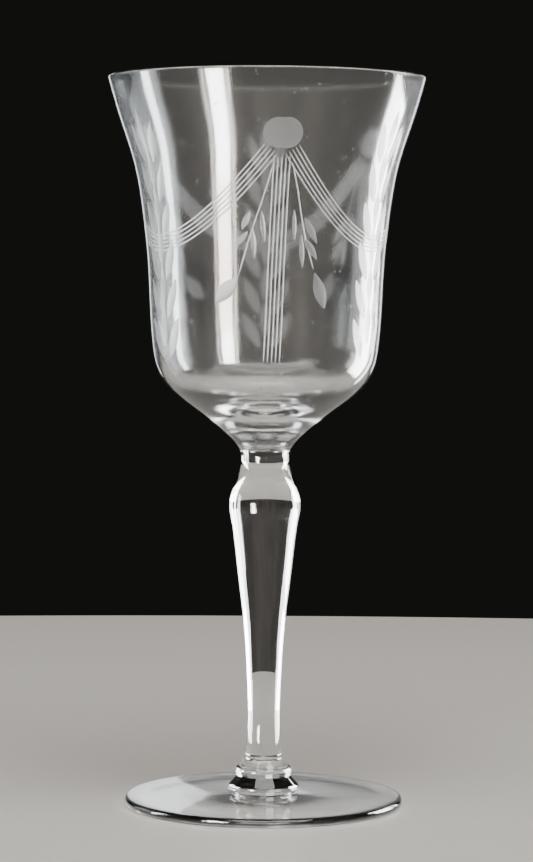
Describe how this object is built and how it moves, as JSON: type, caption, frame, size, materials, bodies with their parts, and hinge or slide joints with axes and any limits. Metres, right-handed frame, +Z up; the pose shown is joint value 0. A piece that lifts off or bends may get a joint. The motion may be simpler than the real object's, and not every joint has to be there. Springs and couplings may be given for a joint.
{
  "type": "wine glass",
  "caption": "Clear stemmed wine glass with a flared bowl, solid baluster stem, two small collars and a round foot, for drinks at table.",
  "frame": {"origin": "centre of the resting plane under the foot", "axes": "+Z up along the stem towards the mouth; the glass is round, so +X and +Y are free; one medallion of the cut decoration faces -Y"},
  "size_m": [0.0888, 0.0888, 0.203],
  "materials": {
    "bowl_glass": "clear colourless blown glass, fire-polished lip, matte grey wheel-cut decoration on the outside",
    "stem_glass": "clear colourless solid glass, polished",
    "foot_glass": "clear colourless glass, polished, faint tooling swirl"
  },
  "bodies": {
    "root": {"foot": "foot_glass", "lower_ring": "stem_glass", "upper_ring": "stem_glass", "stem": "stem_glass", "bowl": "bowl_glass"}
  },
  "joints": []
}
